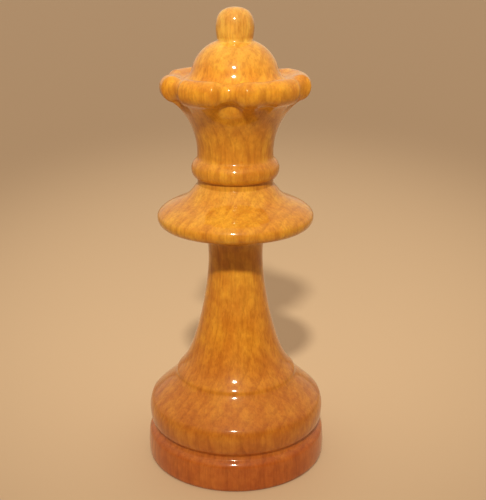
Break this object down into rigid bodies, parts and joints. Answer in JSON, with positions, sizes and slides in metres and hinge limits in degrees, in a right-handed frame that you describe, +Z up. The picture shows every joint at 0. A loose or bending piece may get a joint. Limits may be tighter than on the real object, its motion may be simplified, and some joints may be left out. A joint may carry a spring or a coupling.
{
  "type": "chess queen",
  "caption": "Turned wooden chess queen: ball-topped dome in a scalloped crown, wide collar, flared stem and grooved round base.",
  "frame": {"origin": "centre of the flat underside", "axes": "+Z up along the turning axis towards the knob; the front, as in the picture, faces -Y"},
  "size_m": [0.0294, 0.0294, 0.0723],
  "materials": {
    "varnished_wood": "clear amber varnish, glossy"
  },
  "bodies": {
    "root": {"queen": "varnished_wood"}
  },
  "joints": []
}
